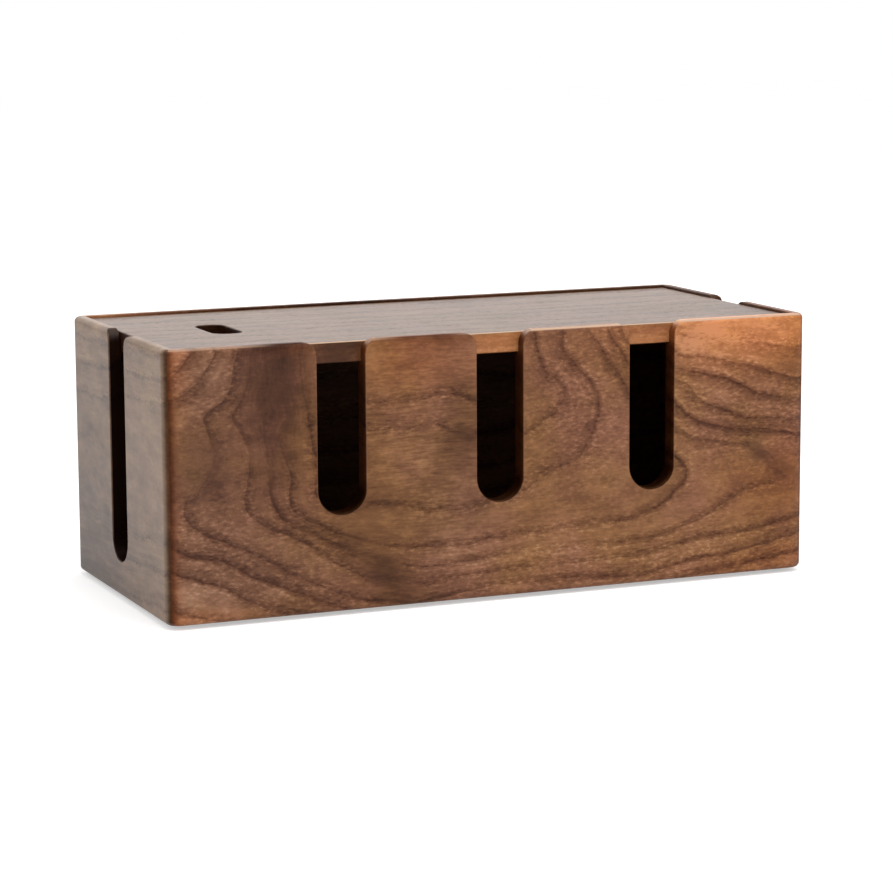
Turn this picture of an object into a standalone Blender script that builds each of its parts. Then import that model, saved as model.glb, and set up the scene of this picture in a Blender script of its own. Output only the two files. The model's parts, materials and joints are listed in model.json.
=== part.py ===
import math

import bmesh
import bpy
from mathutils import Matrix, Vector

# A walnut box that hides a power strip. Four mitred boards stand around a base panel, a loose lid lies in
# a rebate around the top, and cords leave through slots in the front and in both ends.
# Sizes are in metres, +Z is up, the front faces -Y, and the origin is on the ground under the middle.

MM = 0.001

# Box, over the wood
BOX_LENGTH = 400 * MM
BOX_DEPTH = 180 * MM
BOX_HEIGHT = 154 * MM
WALL = 12 * MM
CORNER_RADIUS = 8 * MM
EDGE_RADIUS = 3 * MM

# Cable slots, open at the top; a sill is a slot's lowest point, measured from the underside of the wood
SLOT_WIDTH = 29 * MM
SHOULDER_RADIUS = 8 * MM
FRONT_SLOT_COUNT = 3
FRONT_SLOT_PITCH = 97 * MM
FRONT_SLOT_SILL = 56 * MM
END_SLOT_SILL = 21 * MM

# Lid, and the ledge that it rests on
LID_THICKNESS = 12 * MM
LID_RECESS = 1.5 * MM
LID_SIDE_GAP = 0.5 * MM
LID_LEDGE = 5 * MM
LID_EDGE = 0.8 * MM
HOLE_WIDTH = 18 * MM
HOLE_LENGTH = 44 * MM
HOLE_CORNER_RADIUS = 8 * MM
HOLE_FROM_END = 62 * MM

# Base panel, and the ledge around its edge
BASE_THICKNESS = 6 * MM
BASE_LEDGE = 5 * MM

# Tongues in the mitred corners, measured along the mitre from its inner corner
SPLINE_THICKNESS = 3 * MM
SPLINE_WIDTH = 10 * MM
SPLINE_FROM_INNER_CORNER = 3 * MM
SPLINE_STOP = 8 * MM

# Stick-on feet
FOOT_DIAMETER = 12 * MM
FOOT_HEIGHT = 2 * MM
FOOT_EDGE = 0.4 * MM
FOOT_INSET = 25 * MM

# Glue line between pieces that touch, and how far a cutter runs past what it cuts
GLUE_GAP = 0.3 * MM
OVERSHOOT = 5 * MM

# Carries the arc of a shoulder just past the top face, so that it meets the face at an angle
SHOULDER_LIFT = 0.05 * MM

# Largest share of a lip, or of half a hole's side, that a fillet may take
FILLET_LIMIT = 0.9

# Facets
CORNER_SEGMENTS = 8
EDGE_SEGMENTS = 4
SLOT_SEGMENTS = 20
SHOULDER_SEGMENTS = 8
HOLE_SEGMENTS = 6
FOOT_SEGMENTS = 28
SMALL_EDGE_SEGMENTS = 2

# Heights
WOOD_BOTTOM = FOOT_HEIGHT + GLUE_GAP
WOOD_TOP = WOOD_BOTTOM + BOX_HEIGHT
LID_TOP = WOOD_TOP - LID_RECESS
LID_BOTTOM = LID_TOP - LID_THICKNESS
LEDGE_TOP = LID_BOTTOM - GLUE_GAP
BASE_TOP = WOOD_BOTTOM + BASE_THICKNESS
BASE_SHOULDER = BASE_TOP + GLUE_GAP
SPLINE_BOTTOM = BASE_SHOULDER + SPLINE_STOP
SPLINE_TOP = LEDGE_TOP - SPLINE_STOP

# Colours, with roughness
WALNUT = ((0.30, 0.155, 0.08), 0.42)
WALNUT_DARK = ((0.19, 0.095, 0.05), 0.45)
PLYWOOD = ((0.36, 0.22, 0.12), 0.6)
BEECH = ((0.62, 0.42, 0.24), 0.6)
RUBBER = ((0.03, 0.03, 0.03), 0.8)


def add_object(name, bm):
    # Turn a bmesh into a named object
    bmesh.ops.recalc_face_normals(bm, faces=bm.faces)
    mesh = bpy.data.meshes.new(name)
    bm.to_mesh(mesh)
    bm.free()
    piece = bpy.data.objects.new(name, mesh)
    bpy.context.scene.collection.objects.link(piece)
    return piece


def paint(piece, look):
    # Give a piece its own Principled material
    colour, roughness = look
    material = bpy.data.materials.new(piece.name)
    material.use_nodes = True
    shader = material.node_tree.nodes["Principled BSDF"]
    shader.inputs["Base Color"].default_value = (*colour, 1.0)
    shader.inputs["Roughness"].default_value = roughness
    shader.inputs["Metallic"].default_value = 0.0
    material.diffuse_color = (*colour, 1.0)
    piece.data.materials.append(material)


def prism(outline, start, end):
    # Extrude a closed outline of (x, y) points from the height start to the height end
    bm = bmesh.new()
    face = bm.faces.new([bm.verts.new((x, y, start)) for x, y in outline])
    raised = bmesh.ops.extrude_face_region(bm, geom=[face])["geom"]
    verts = [item for item in raised if isinstance(item, bmesh.types.BMVert)]
    bmesh.ops.translate(bm, verts=verts, vec=(0, 0, end - start))
    return bm


def rectangle(length, depth):
    # Outline of a rectangle centred on the origin
    x, y = length / 2, depth / 2
    return [(-x, -y), (x, -y), (x, y), (-x, y)]


def arc(centre, radius, start, end, segments):
    # Points along an arc, with its angles in degrees
    points = []
    for step in range(segments + 1):
        angle = math.radians(start + (end - start) * step / segments)
        points.append((centre[0] + radius * math.cos(angle), centre[1] + radius * math.sin(angle)))
    return points


def rounded_rectangle(width, length, radius, segments):
    # Outline of a rectangle with round corners; the radius is limited by the smaller side
    radius = min(radius, FILLET_LIMIT * width / 2, FILLET_LIMIT * length / 2)
    x, y = width / 2 - radius, length / 2 - radius
    outline = []
    for centre, start in (((x, y), 0), ((-x, y), 90), ((-x, -y), 180), ((x, -y), 270)):
        outline += arc(centre, radius, start, start + 90, segments)
    return outline


def slot_outline(sill):
    # A slot seen square on, as (across, height) points: a round bottom, straight sides and round shoulders
    half = SLOT_WIDTH / 2
    shoulder_x = half + SHOULDER_RADIUS
    shoulder_z = WOOD_TOP - SHOULDER_RADIUS + SHOULDER_LIFT
    top = WOOD_TOP + OVERSHOOT
    bottom = arc((0, WOOD_BOTTOM + sill + half), half, 180, 360, SLOT_SEGMENTS)
    right = arc((shoulder_x, shoulder_z), SHOULDER_RADIUS, 180, 90, SHOULDER_SEGMENTS)
    left = [(-x, z) for x, z in reversed(right)]
    return bottom + right + [(shoulder_x, top), (-shoulder_x, top)] + left


def hide_tool(tool):
    # Mark an object as a cutter or guide
    tool.hide_render = True
    tool.display_type = "WIRE"
    return tool


def combine(piece, tool, operation):
    # Add a Boolean modifier with an exact solver
    modifier = piece.modifiers.new(tool.name, "BOOLEAN")
    modifier.object = tool
    modifier.operation = operation
    modifier.solver = "EXACT"


def make_outer_block():
    # The outer form of the box, with its upright corners and its top and bottom edges rounded
    bm = prism(rectangle(BOX_LENGTH, BOX_DEPTH), WOOD_BOTTOM, WOOD_TOP)
    upright = [edge for edge in bm.edges if abs(edge.verts[0].co.z - edge.verts[1].co.z) > BOX_HEIGHT / 2]
    bmesh.ops.bevel(bm, geom=upright, offset=CORNER_RADIUS, segments=CORNER_SEGMENTS, profile=0.5,
                    affect="EDGES", clamp_overlap=True)
    level = [edge for edge in bm.edges if abs(edge.verts[0].co.z - edge.verts[1].co.z) < BOX_HEIGHT / 2]
    radius = min(EDGE_RADIUS, FILLET_LIMIT * (WALL - LID_LEDGE), FILLET_LIMIT * (WALL - BASE_LEDGE))
    bmesh.ops.bevel(bm, geom=level, offset=radius, segments=EDGE_SEGMENTS, profile=0.5,
                    affect="EDGES", clamp_overlap=True)
    return hide_tool(add_object("outer_block", bm))


def make_lid_recess():
    # The space that the lid drops into, down to its ledge
    lip = WALL - LID_LEDGE
    outline = rectangle(BOX_LENGTH - 2 * lip, BOX_DEPTH - 2 * lip)
    return hide_tool(add_object("lid_recess", prism(outline, LEDGE_TOP, WOOD_TOP + OVERSHOOT)))


def make_base_recess():
    # The space that the base panel fills, up to its shoulder
    lip = WALL - BASE_LEDGE
    outline = rectangle(BOX_LENGTH - 2 * lip, BOX_DEPTH - 2 * lip)
    return hide_tool(add_object("base_recess", prism(outline, WOOD_BOTTOM - OVERSHOOT, BASE_SHOULDER)))


def make_slot_tool(name, sill, across, board):
    # A slot cutter through a board, at a place along the board's length
    outline = slot_outline(sill)
    bm = prism(outline, -OVERSHOOT, WALL + OVERSHOOT)
    stand_up = Matrix(((1, 0, 0, across), (0, 0, 1, 0), (0, 1, 0, -WOOD_BOTTOM), (0, 0, 0, 1)))
    bmesh.ops.transform(bm, matrix=stand_up, verts=bm.verts)
    tool = hide_tool(add_object(name, bm))
    tool.location = board.location
    tool.rotation_euler = board.rotation_euler
    return tool


def make_board(name, length, centre, turn, look):
    # A mitred board whose outer face passes through centre; it reaches past the outer block all round
    half = length / 2 - GLUE_GAP / math.sqrt(2)
    outline = [
        (-half - OVERSHOOT, -OVERSHOOT),
        (half + OVERSHOOT, -OVERSHOOT),
        (half - WALL, WALL),
        (-half + WALL, WALL),
    ]
    board = add_object(name, prism(outline, -OVERSHOOT, BOX_HEIGHT + OVERSHOOT))
    board.location = Vector((centre[0], centre[1], WOOD_BOTTOM))
    board.rotation_euler = (0, 0, math.radians(turn))
    paint(board, look)
    return board


def corner_signs():
    # The four corners of the box, each with its name and the signs of its x and y
    for depth_name, y_sign in (("front", -1), ("back", 1)):
        for side_name, x_sign in (("left", -1), ("right", 1)):
            yield f"{depth_name}_{side_name}", x_sign, y_sign


def spline_bar(name, corner, growth):
    # A bar that lies square across the mitre of one corner, grown on every side
    x_sign, y_sign = corner
    outline = rectangle(SPLINE_WIDTH + 2 * growth, SPLINE_THICKNESS + 2 * growth)
    bar = add_object(name, prism(outline, SPLINE_BOTTOM - growth, SPLINE_TOP + growth))
    along = (SPLINE_FROM_INNER_CORNER + SPLINE_THICKNESS / 2) / math.sqrt(2)
    bar.location = (x_sign * (BOX_LENGTH / 2 - WALL + along), y_sign * (BOX_DEPTH / 2 - WALL + along), 0)
    bar.rotation_euler = (0, 0, math.radians(-45 * x_sign * y_sign))
    return bar


def make_lid():
    # The lid, with the finger hole through it; its origin is on its underside, in the middle
    lip = WALL - LID_LEDGE + LID_SIDE_GAP
    bm = prism(rectangle(BOX_LENGTH - 2 * lip, BOX_DEPTH - 2 * lip), 0, LID_THICKNESS)
    bmesh.ops.bevel(bm, geom=list(bm.edges), offset=LID_EDGE, segments=SMALL_EDGE_SEGMENTS, profile=0.5,
                    affect="EDGES")
    lid = add_object("lid", bm)
    lid.location = (0, 0, LID_BOTTOM)
    outline = rounded_rectangle(HOLE_WIDTH, HOLE_LENGTH, HOLE_CORNER_RADIUS, HOLE_SEGMENTS)
    hole = hide_tool(add_object("finger_hole", prism(outline, -OVERSHOOT, LID_THICKNESS + OVERSHOOT)))
    hole.location = (HOLE_FROM_END - BOX_LENGTH / 2, 0, LID_BOTTOM)
    combine(lid, hole, "DIFFERENCE")
    paint(lid, WALNUT)


def make_base_panel():
    # The base panel, flush with the underside of the boards
    lip = WALL - BASE_LEDGE + GLUE_GAP
    outline = rectangle(BOX_LENGTH - 2 * lip, BOX_DEPTH - 2 * lip)
    base = add_object("base_panel", prism(outline, 0, BASE_THICKNESS))
    base.location = (0, 0, WOOD_BOTTOM)
    paint(base, PLYWOOD)


def make_foot(name, x_sign, y_sign):
    # A round pad under one corner of the base panel, with its lower edge eased
    bm = bmesh.new()
    bmesh.ops.create_cone(bm, cap_ends=True, segments=FOOT_SEGMENTS, radius1=FOOT_DIAMETER / 2,
                          radius2=FOOT_DIAMETER / 2, depth=FOOT_HEIGHT)
    rim = [edge for edge in bm.edges if all(vert.co.z < 0 for vert in edge.verts)]
    bmesh.ops.bevel(bm, geom=rim, offset=FOOT_EDGE, segments=SMALL_EDGE_SEGMENTS, profile=0.5,
                    affect="EDGES")
    foot = add_object(name, bm)
    x, y = BOX_LENGTH / 2 - FOOT_INSET, BOX_DEPTH / 2 - FOOT_INSET
    foot.location = (x_sign * x, y_sign * y, FOOT_HEIGHT / 2)
    paint(foot, RUBBER)


def make_boards():
    # The four boards, their slots, their rebates and the grooves in their mitres
    front = make_board("front_panel", BOX_LENGTH, (0, -BOX_DEPTH / 2), 0, WALNUT)
    back = make_board("back_panel", BOX_LENGTH, (0, BOX_DEPTH / 2), 180, WALNUT)
    left = make_board("left_end_panel", BOX_DEPTH, (-BOX_LENGTH / 2, 0), -90, WALNUT_DARK)
    right = make_board("right_end_panel", BOX_DEPTH, (BOX_LENGTH / 2, 0), 90, WALNUT_DARK)
    block, lid_recess, base_recess = make_outer_block(), make_lid_recess(), make_base_recess()
    for board in (front, back, left, right):
        combine(board, block, "INTERSECT")
        combine(board, lid_recess, "DIFFERENCE")
        combine(board, base_recess, "DIFFERENCE")
    for index in range(FRONT_SLOT_COUNT):
        across = (index - (FRONT_SLOT_COUNT - 1) / 2) * FRONT_SLOT_PITCH
        slot = make_slot_tool(f"front_slot_{index + 1}", FRONT_SLOT_SILL, across, front)
        combine(front, slot, "DIFFERENCE")
    for board in (left, right):
        slot = make_slot_tool(f"{board.name}_slot", END_SLOT_SILL, 0, board)
        combine(board, slot, "DIFFERENCE")
    for name, x_sign, y_sign in corner_signs():
        groove = hide_tool(spline_bar(f"{name}_groove", (x_sign, y_sign), GLUE_GAP))
        combine(front if y_sign < 0 else back, groove, "DIFFERENCE")
        combine(left if x_sign < 0 else right, groove, "DIFFERENCE")


def build():
    for old in list(bpy.data.objects):
        bpy.data.objects.remove(old, do_unlink=True)
    make_boards()
    make_lid()
    make_base_panel()
    for name, x_sign, y_sign in corner_signs():
        paint(spline_bar(f"{name}_spline", (x_sign, y_sign), 0), BEECH)
        make_foot(f"{name}_foot", x_sign, y_sign)


build()
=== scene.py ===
import json
import math

import bmesh
import bpy
import numpy as np
from mathutils import Matrix, Vector

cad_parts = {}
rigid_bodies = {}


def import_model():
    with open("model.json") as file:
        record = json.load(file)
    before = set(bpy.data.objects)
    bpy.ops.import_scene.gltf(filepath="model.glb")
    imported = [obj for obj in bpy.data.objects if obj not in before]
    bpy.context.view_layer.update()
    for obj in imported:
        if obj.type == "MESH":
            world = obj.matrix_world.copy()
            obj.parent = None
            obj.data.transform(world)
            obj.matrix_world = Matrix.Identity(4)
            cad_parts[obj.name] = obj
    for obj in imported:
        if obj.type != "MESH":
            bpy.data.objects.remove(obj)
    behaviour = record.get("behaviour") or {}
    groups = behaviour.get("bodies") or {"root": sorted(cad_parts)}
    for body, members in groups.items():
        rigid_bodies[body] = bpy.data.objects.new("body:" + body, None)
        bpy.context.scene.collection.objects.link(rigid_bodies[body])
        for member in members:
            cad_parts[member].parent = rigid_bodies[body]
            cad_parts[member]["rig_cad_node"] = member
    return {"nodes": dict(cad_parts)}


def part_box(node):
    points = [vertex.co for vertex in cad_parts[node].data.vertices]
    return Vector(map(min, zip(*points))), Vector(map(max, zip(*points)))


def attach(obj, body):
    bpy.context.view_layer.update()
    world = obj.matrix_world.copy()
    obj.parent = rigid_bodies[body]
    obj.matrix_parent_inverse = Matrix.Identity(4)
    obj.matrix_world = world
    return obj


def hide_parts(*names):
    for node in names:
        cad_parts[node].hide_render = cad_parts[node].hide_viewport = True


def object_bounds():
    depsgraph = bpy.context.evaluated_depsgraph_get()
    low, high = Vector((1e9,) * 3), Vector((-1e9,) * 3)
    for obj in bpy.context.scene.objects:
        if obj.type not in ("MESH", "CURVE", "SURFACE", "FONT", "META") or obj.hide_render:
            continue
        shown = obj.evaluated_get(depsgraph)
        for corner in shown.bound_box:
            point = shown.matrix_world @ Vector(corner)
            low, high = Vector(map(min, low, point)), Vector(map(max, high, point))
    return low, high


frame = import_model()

mm = 0.001
scene = bpy.context.scene
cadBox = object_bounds()

# What the CAD says: the outside, the wood's lowest and highest points, the wall, the lid and the base
frontLow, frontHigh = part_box("front_panel")
lidLow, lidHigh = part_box("lid")
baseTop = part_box("base_panel")[1].z
outside = {
    "length": cadBox[1].x - cadBox[0].x,
    "depth": cadBox[1].y - cadBox[0].y,
    "bottom": frontLow.z,
    "top": frontHigh.z,
    "height": frontHigh.z - frontLow.z,
    "wall": frontHigh.y - frontLow.y,
}
overshoot = 5 * mm
print("frame loaded")


# Mesh helpers


def addToScene(name, data):
    added = bpy.data.objects.new(name, data)
    scene.collection.objects.link(added)
    return added


def newObject(name, bm):
    # A named object from a bmesh, with its faces turned outwards
    bmesh.ops.recalc_face_normals(bm, faces=bm.faces)
    mesh = bpy.data.meshes.new(name)
    bm.to_mesh(mesh)
    bm.free()
    return addToScene(name, mesh)


def loft(rings):
    # Skin a stack of closed outlines that have the same number of points, with both ends closed
    bm = bmesh.new()
    layers = [[bm.verts.new(point) for point in ring] for ring in rings]
    for lower, upper in zip(layers, layers[1:]):
        for index in range(len(lower)):
            after = (index + 1) % len(lower)
            bm.faces.new((lower[index], lower[after], upper[after], upper[index]))
    bm.faces.new(layers[0])
    bm.faces.new(layers[-1])
    bmesh.ops.recalc_face_normals(bm, faces=bm.faces)
    return bm


def arc(centre, radius, start, end, steps):
    # Points along an arc, with its angles in degrees
    points = []
    for step in range(steps + 1):
        angle = math.radians(start + (end - start) * step / steps)
        points.append((centre[0] + radius * math.cos(angle), centre[1] + radius * math.sin(angle)))
    return points


def rectangle(length, depth):
    x, y = length / 2, depth / 2
    return [(-x, -y), (x, -y), (x, y), (-x, y)]


def roundedRectangle(width, length, radius, steps):
    x, y = width / 2 - radius, length / 2 - radius
    outline = []
    for centre, start in (((x, y), 0), ((-x, y), 90), ((-x, -y), 180), ((x, -y), 270)):
        outline += arc(centre, radius, start, start + 90, steps)
    return outline


def standing(outline, low, high):
    # A prism between two heights
    return loft([[(x, y, z) for x, y in outline] for z in (low, high)])


def easedLayers(start, end, ease, steps, slip=0.02 * mm):
    # Depths through a hole with how far its rim flares at each, for a round edge at both faces
    turns = [math.radians(90 * k / steps) for k in range(steps + 1)]
    flares = [(ease * (1 - math.cos(turn)), ease * (1 - math.sin(turn))) for turn in turns]
    layers = [(start - overshoot, ease)]
    layers += [(start + depth - slip, flare) for depth, flare in flares]
    layers += [(end - depth + slip, flare) for depth, flare in reversed(flares)]
    layers.append((end + overshoot, ease))
    return layers


def makeTool(name, bm):
    # A solid that only cuts others or is repeated, and isn't rendered
    tool = newObject(name, bm)
    tool.hide_render = True
    tool.display_type = "WIRE"
    return tool


def roundOff(bm, edges, radius, steps):
    bmesh.ops.bevel(bm, geom=edges, offset=radius, segments=steps, profile=0.5, affect="EDGES",
                    clamp_overlap=True)


def combine(piece, tool, operation):
    modifier = piece.modifiers.new(tool.name, "BOOLEAN")
    modifier.object = tool
    modifier.operation = operation
    modifier.solver = "EXACT"


def settle(piece):
    # Turn a piece with its modifiers into a plain mesh at the origin
    bpy.context.view_layer.update()
    graph = bpy.context.evaluated_depsgraph_get()
    mesh = bpy.data.meshes.new_from_object(piece.evaluated_get(graph), preserve_all_data_layers=True,
                                           depsgraph=graph)
    mesh.transform(piece.matrix_world)
    mesh.name = piece.name
    piece.modifiers.clear()
    piece.data = mesh
    piece.matrix_world = Matrix.Identity(4)


def sliceAlong(piece, steps):
    # Cut the faces on an even grid, so that a pattern stored at the corners can follow the surface
    bm = bmesh.new()
    bm.from_mesh(piece.data)
    bmesh.ops.remove_doubles(bm, verts=bm.verts, dist=0.002 * mm)
    for axis, step in enumerate(steps):
        if not step:
            continue
        places = [vert.co[axis] for vert in bm.verts]
        low, high = min(places), max(places)
        count = max(1, round((high - low) / step))
        normal = Vector([1.0 if k == axis else 0.0 for k in range(3)])
        for index in range(1, count):
            place = low + (high - low) * index / count
            bmesh.ops.bisect_plane(bm, geom=bm.verts[:] + bm.edges[:] + bm.faces[:], dist=0.001 * mm,
                                   plane_co=normal * place, plane_no=normal)
    bm.to_mesh(piece.data)
    bm.free()


def smoothShade(piece, sharpAngle=25):
    # Smooth the round edges and keep the flat faces flat
    mesh = piece.data
    mesh.polygons.foreach_set("use_smooth", [True] * len(mesh.polygons))
    mesh.set_sharp_from_angle(angle=math.radians(sharpAngle))
    modifier = piece.modifiers.new("weighted", "WEIGHTED_NORMAL")
    modifier.keep_sharp = True
    modifier.weight = 50
    settle(piece)


# Nodes: what all trees use, then Geometry Nodes for the cable slots in a row and the feet under the corners


def newTree(name, sockets):
    tree = bpy.data.node_groups.new(name, "GeometryNodeTree")
    for label, kind in (("Geometry", "Geometry"), *sockets):
        tree.interface.new_socket(label, in_out="INPUT", socket_type="NodeSocket" + kind)
    tree.interface.new_socket("Geometry", in_out="OUTPUT", socket_type="NodeSocketGeometry")
    return tree


def fillInputs(node, inputs):
    # Each is linked to a socket or set to a value
    for name, value in inputs.items():
        socket = node.inputs[name]
        if isinstance(value, bpy.types.NodeSocket):
            node.id_data.links.new(value, socket)
        else:
            socket.default_value = value


def addNode(tree, kind, inputs=None, **settings):
    # A node with its inputs and settings
    node = tree.nodes.new(kind)
    for name, value in settings.items():
        setattr(node, name, value)
    fillInputs(node, inputs or {})
    return node


def mathNode(operation, *values, clamp=False):
    # Goes into the tree that its first socket belongs to
    tree = next(value for value in values if isinstance(value, bpy.types.NodeSocket)).id_data
    return addNode(tree, "ShaderNodeMath", dict(enumerate(values)), operation=operation,
                   use_clamp=clamp).outputs[0]


def times(first, second, clamp=False):
    return mathNode("MULTIPLY", first, second, clamp=clamp)


def joinNode(x, y=0.0, z=0.0):
    return addNode(x.id_data, "ShaderNodeCombineXYZ", {"X": x, "Y": y, "Z": z}).outputs[0]


def repeatAt(points, thing):
    shape = addNode(thing.id_data, "GeometryNodeObjectInfo", {"Object": thing}).outputs["Geometry"]
    return addNode(thing.id_data, "GeometryNodeInstanceOnPoints", {"Points": points,
                                                                   "Instance": shape}).outputs[0]


def finishTree(tree, geometry, material):
    # What repeats becomes plain mesh, gets its material and leaves the tree
    whole = addNode(tree, "GeometryNodeRealizeInstances", {"Geometry": geometry}).outputs[0]
    finished = addNode(tree, "GeometryNodeSetMaterial", {"Geometry": whole, "Material": material})
    addNode(tree, "NodeGroupOutput", {"Geometry": finished.outputs[0]})
    return tree


def slotRowTree():
    # Repeats one cutter in a row along X and takes the row out of the board
    tree = newTree("slotRow", (("Cutter", "Object"), ("Count", "Int"), ("Pitch", "Float"),
                               ("Material", "Material")))
    given = addNode(tree, "NodeGroupInput").outputs
    gaps = mathNode("SUBTRACT", given["Count"], 1.0)
    first = times(times(gaps, -0.5), given["Pitch"])
    row = addNode(tree, "GeometryNodeMeshLine", {"Count": given["Count"], "Start Location": joinNode(first),
                                                 "Offset": joinNode(given["Pitch"])}).outputs[0]
    cutters = addNode(tree, "GeometryNodeRealizeInstances", {"Geometry": repeatAt(row, given["Cutter"])})
    cut = addNode(tree, "GeometryNodeMeshBoolean", {0: given["Geometry"], 1: cutters.outputs[0]},
                  operation="DIFFERENCE", solver="EXACT")
    return finishTree(tree, cut.outputs[0], given["Material"])


def footGridTree():
    # Stands one foot under each corner of a rectangle
    tree = newTree("footGrid", (("Foot", "Object"), ("Spacing X", "Float"), ("Spacing Y", "Float"),
                                ("Material", "Material")))
    given = addNode(tree, "NodeGroupInput").outputs
    grid = addNode(tree, "GeometryNodeMeshGrid", {"Size X": given["Spacing X"], "Size Y": given["Spacing Y"],
                                                  "Vertices X": 2, "Vertices Y": 2}).outputs[0]
    return finishTree(tree, repeatAt(grid, given["Foot"]), given["Material"])


def addTree(piece, tree, values):
    # Put a tree on a piece and fill in its named inputs by their identifiers
    modifier = piece.modifiers.new(tree.name, "NODES")
    modifier.node_group = tree
    for item in tree.interface.items_tree:
        if item.in_out == "INPUT" and item.name in values:
            modifier[item.identifier] = values[item.name]


# The growth field: drawn growth lines, and a smooth surface through them that says which ring a
# place of a board belongs to. Lines are in millimetres, from the left edge and down from the top edge,
# as each face is seen from outside.

frontFigure = {
    "lines": [
        (9.2, [(1, 14), (7, 8), (12, 1)]),
        (8, [(1, 29), (7, 26), (15, 22), (22, 15), (26, 7), (30, 0)]),
        (7.5, [(34, 0), (33, 10), (28, 18)]),
        (7.6, [(1, 40), (2, 60), (1, 80)]),
        (7, [(43, 0), (40, 12), (37, 25), (32, 31), (20, 37), (24, 46), (26, 58), (24, 72), (15, 82), (8, 87),
             (10, 94), (17, 101), (32, 109), (50, 118), (66, 126), (80, 134), (95, 141), (108, 147),
             (125, 151)]),
        (6, [(50, 0), (48, 15), (45, 28), (36, 41), (42, 44), (46, 53), (49, 64), (47, 76), (45, 87),
             (49, 95),
             (60, 103), (75, 110), (90, 120), (105, 130), (120, 136), (140, 141), (150, 143), (175, 140),
             (212, 138), (250, 138), (275, 138), (300, 136), (325, 130), (350, 129), (375, 126), (398, 123)]),
        (4, [(68, 0), (67, 20), (70, 45), (66, 55), (70, 66), (73, 78), (71, 88), (77, 97), (95, 107),
             (120, 117),
             (150, 121), (185, 121), (212, 118), (240, 117), (262, 116), (287, 114), (310, 105)]),
        (5, [(318, 65), (328, 70), (345, 72), (362, 74), (372, 83), (384, 90), (393, 94.5), (372, 101),
             (350, 108),
             (332, 117), (300, 127), (255, 129), (200, 130)]),
        (4.6, [(350, 86), (366, 93)]),
        (5.4, [(399, 84), (399, 104)]),
        (6, [(318, 53), (330, 61), (350, 66), (365, 66), (380, 68), (398, 71)]),
        (7, [(318, 36), (324, 42), (330, 48), (348, 55), (360, 60), (380, 61), (398, 62)]),
        (8, [(315, 28), (333, 31), (350, 37), (363, 43), (382, 47.5), (398, 51)]),
        (9, [(315, 19), (332, 22), (355, 27), (375, 32), (398, 39)]),
        (10, [(315, 7), (350, 12), (398, 20)]),
        (3.5, [(250, 5), (257, 15), (266, 27), (277, 40), (281, 60)]),
        (3, [(240, 2), (241, 15), (250, 25), (260, 37), (262.5, 48), (259, 60), (250, 72), (232, 82),
             (200, 98),
             (150, 100), (120, 95)]),
        (2, [(118, 51), (140, 52), (155, 51), (170, 54), (190, 60), (210, 62), (225, 55), (235, 47),
             (241, 40),
             (240, 32), (230, 25)]),
        (1, [(120, 37), (150, 37), (162, 34), (175, 36), (183, 40)]),
        (0.4, [(120, 15), (150, 16), (180, 15)]),
        (8, [(0, 108), (4, 112), (15, 116), (30, 120), (50, 129), (70, 139), (85, 145), (100, 150)]),
        (9, [(0, 124), (20, 130), (37, 137), (50, 145), (65, 151)]),
        (10, [(0, 146), (15, 150), (25, 153)]),
        (7, [(288, 150), (325, 144), (362, 139), (398, 132)]),
        (8, [(325, 153), (360, 148), (398, 144)]),
    ],
    # across, down, reach across, reach down, turn in degrees, amount
    "tone": [(64, 12, 20, 32, 0, -1.55), (62, 62, 16, 28, 0, -0.7), (132, 137, 30, 13, 45, -1.35),
             (176, 60, 12, 26, 0, -0.8), (22, 66, 22, 30, 0, -0.7), (25, 6, 20, 12, 0, 0.3),
             (18, 142, 34, 14, 20, 0.6), (8, 8, 6, 18, 0, 0.2), (176, 132, 22, 14, 0, 0.3),
             (136, 24, 20, 15, 0, -0.3), (262, 132, 130, 22, 0, 0.55), (370, 3, 82, 24, 4, 0.75),
             (326, 12, 30, 16, 0, 0.9), (122, 97, 24, 17, 0, -0.6), (392, 98, 34, 24, 0, -0.45),
             # (2.4, 75): painted shade down the rounded upright corner
             (325, 60, 26, 50, 0, 0.25), (2.4, 75, 3, 400, 0, -1.2), (74, 0.5, 22, 2.2, 0, -0.8),
             (154, 0.5, 34, 2.2, 0, -1.2), (366, 80, 5, 8, -25, -0.8), (381, 88, 14, 3.5, 27, -0.5)],
    "warm": [(370, 3, 82, 26, 4, 1.15), (388, 98, 40, 26, 0, 0.45), (146, 14, 34, 16, 0, 0.45),
             # (3, 70): a warmer strip down the same corner, part of its painted shading
             (385, 146, 60, 10, -8, 0.4), (4, 151, 40, 5, 0, 0.6), (3, 70, 4, 400, 0, 0.5),
             (9, 8, 7, 22, 0, 0.35)],
    "flecks": [(20, 60, 30, 50, 0, 0.5), (250, 45, 40, 50, 0, 0.5), (360, 62, 60, 30, 0, 0.7),
               (40, 120, 70, 20, 20, 0.5), (340, 142, 90, 14, -8, 0.6)],
    "ink": [(145, 55, 42, 45, 0, -0.55), (240, 55, 40, 60, 0, -0.45), (215, 128, 90, 20, 0, -0.4),
            (352, 3, 84, 17, 6, -1.1), (60, 10, 20, 30, 0, -0.4)],
    "streaks": [(150, 55, 50, 60, 0, 0.9), (260, 130, 120, 26, 0, 0.5)],
    # Along the top edge: painted shade, as less gloss and less of the painted highlight
    "plain": [(74, 1, 22, 5, 0, 1.0), (22, 1, 34, 5, 0, 0.6), (154, 1, 36, 5, 0, 1.2)],
    "cool": [(18, 90, 44, 90, 0, 0.8), (26, 14, 22, 20, 0, 0.7), (18, 142, 34, 18, 0, 0.5),
             (72, 130, 40, 30, 0, 0.5), (170, 100, 26, 70, 0, 0.5), (300, 22, 18, 20, 0, 0.4),
             (366, 80, 8, 12, -25, 0.8)],
}
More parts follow.
